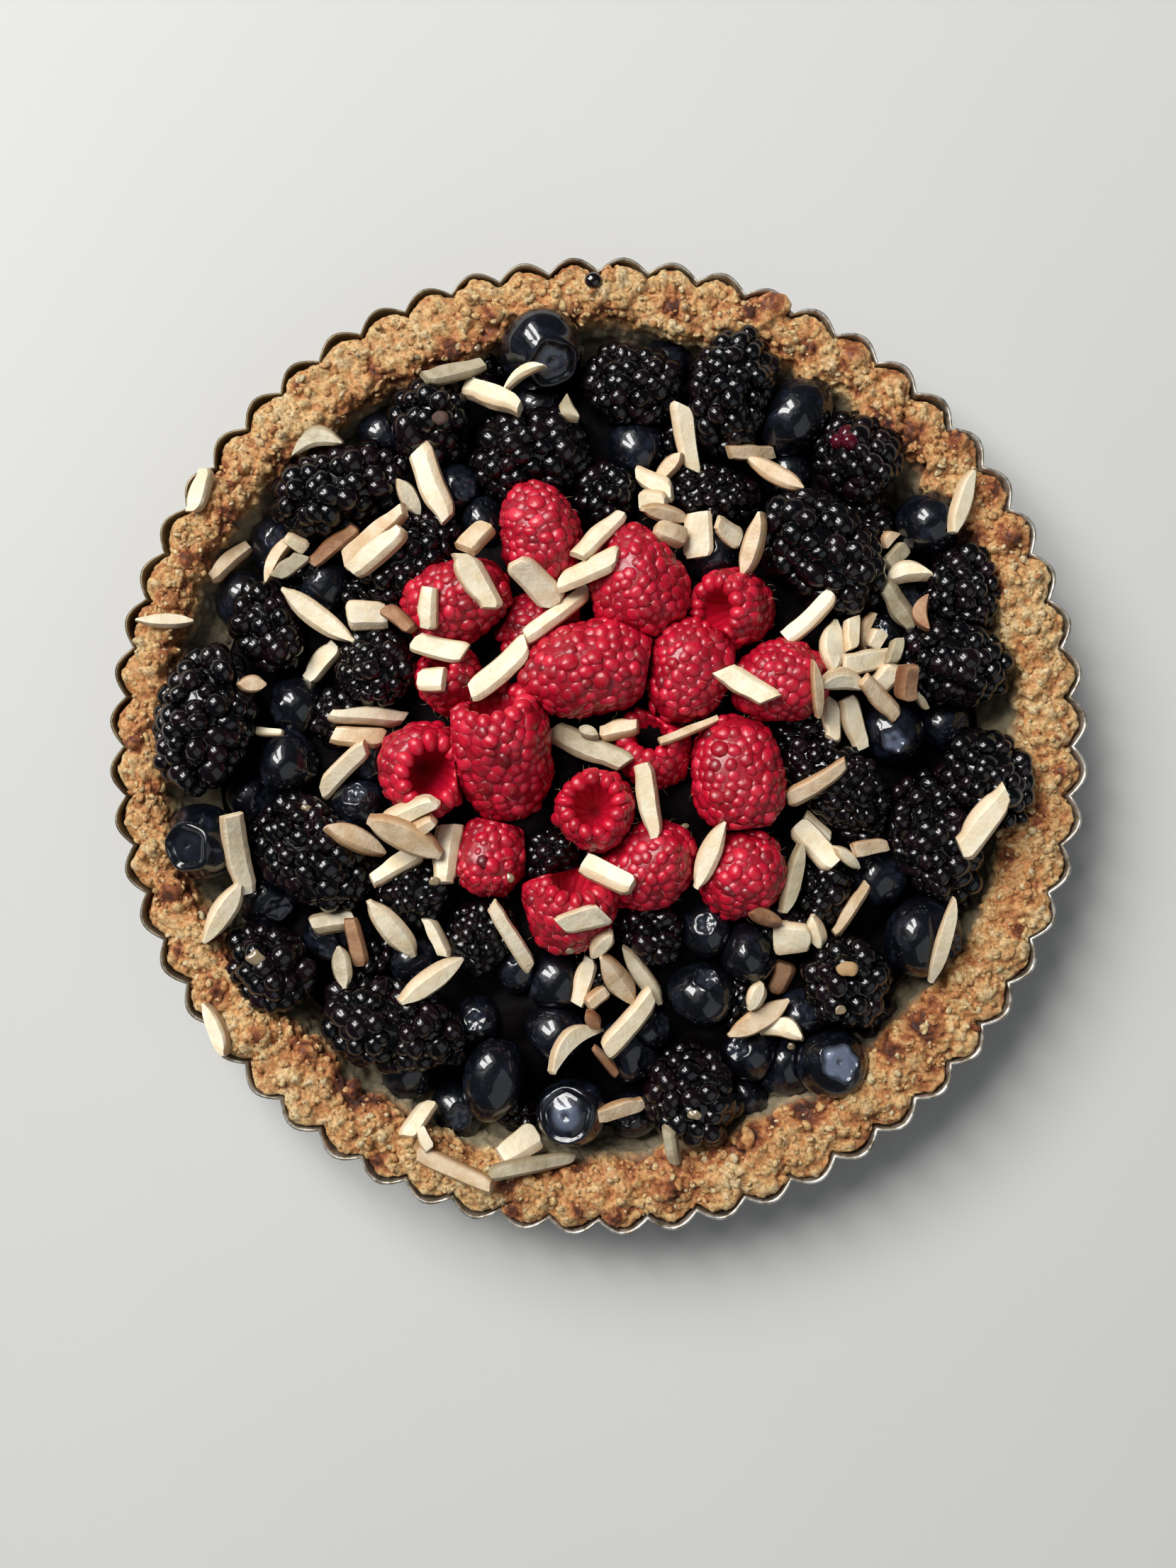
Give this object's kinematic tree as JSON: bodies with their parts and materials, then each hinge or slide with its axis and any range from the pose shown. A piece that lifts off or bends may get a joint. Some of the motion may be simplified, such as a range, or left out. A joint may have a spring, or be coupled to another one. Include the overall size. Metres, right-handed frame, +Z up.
{
  "type": "berry tart",
  "caption": "Round berry tart in its fluted tin: oat pastry case heaped with brambles, blueberries and raspberries, with almond slivers on top.",
  "frame": {"origin": "centre of the tin's flat underside", "axes": "+Z up along the tin's axis; +X to the right and +Y away from the viewer in the picture, which looks straight down"},
  "size_m": [0.243, 0.243, 0.0474],
  "materials": {
    "tin_metal": "worn, dark",
    "oat_pastry": "baked crumb",
    "dark_fruit": "wet",
    "bramble_skin": "glossy",
    "raspberry_skin": "satin",
    "blueberry_skin": "bloom"
  },
  "bodies": {
    "root": {"blueberry_01": "blueberry_skin", "blueberry_02": "blueberry_skin", "blueberry_03": "blueberry_skin", "blueberry_04": "blueberry_skin", "blueberry_05": "blueberry_skin", "blueberry_06": "blueberry_skin", "blueberry_07": "blueberry_skin", "blueberry_08": "blueberry_skin", "blueberry_09": "blueberry_skin", "blueberry_10": "blueberry_skin", "blueberry_11": "blueberry_skin", "blueberry_12": "blueberry_skin", "blueberry_13": "blueberry_skin", "blueberry_14": "blueberry_skin", "blueberry_15": "blueberry_skin", "bramble_01": "bramble_skin", "bramble_02": "bramble_skin", "bramble_03": "bramble_skin", "bramble_04": "bramble_skin", "bramble_05": "bramble_skin", "bramble_06": "bramble_skin", "bramble_07": "bramble_skin", "bramble_08": "bramble_skin", "bramble_09": "bramble_skin", "bramble_10": "bramble_skin", "bramble_11": "bramble_skin", "bramble_12": "bramble_skin", "bramble_13": "bramble_skin", "bramble_14": "bramble_skin", "bramble_15": "bramble_skin", "bramble_16": "bramble_skin", "bramble_17": "bramble_skin", "bramble_18": "bramble_skin", "bramble_19": "bramble_skin", "bramble_20": "bramble_skin", "bramble_21": "bramble_skin", "bramble_22": "bramble_skin", "bramble_23": "bramble_skin", "bramble_24": "bramble_skin", "crust": "oat_pastry", "filling": "dark_fruit", "raspberry_01": "raspberry_skin", "raspberry_02": "raspberry_skin", "raspberry_03": "raspberry_skin", "raspberry_04": "raspberry_skin", "raspberry_05": "raspberry_skin", "raspberry_06": "raspberry_skin", "raspberry_07": "raspberry_skin", "raspberry_08": "raspberry_skin", "raspberry_09": "raspberry_skin", "raspberry_10": "raspberry_skin", "raspberry_11": "raspberry_skin", "raspberry_12": "raspberry_skin", "raspberry_13": "raspberry_skin", "raspberry_14": "raspberry_skin", "raspberry_15": "raspberry_skin", "raspberry_16": "raspberry_skin", "raspberry_17": "raspberry_skin", "raspberry_18": "raspberry_skin", "tart_tin": "tin_metal"}
  },
  "joints": []
}
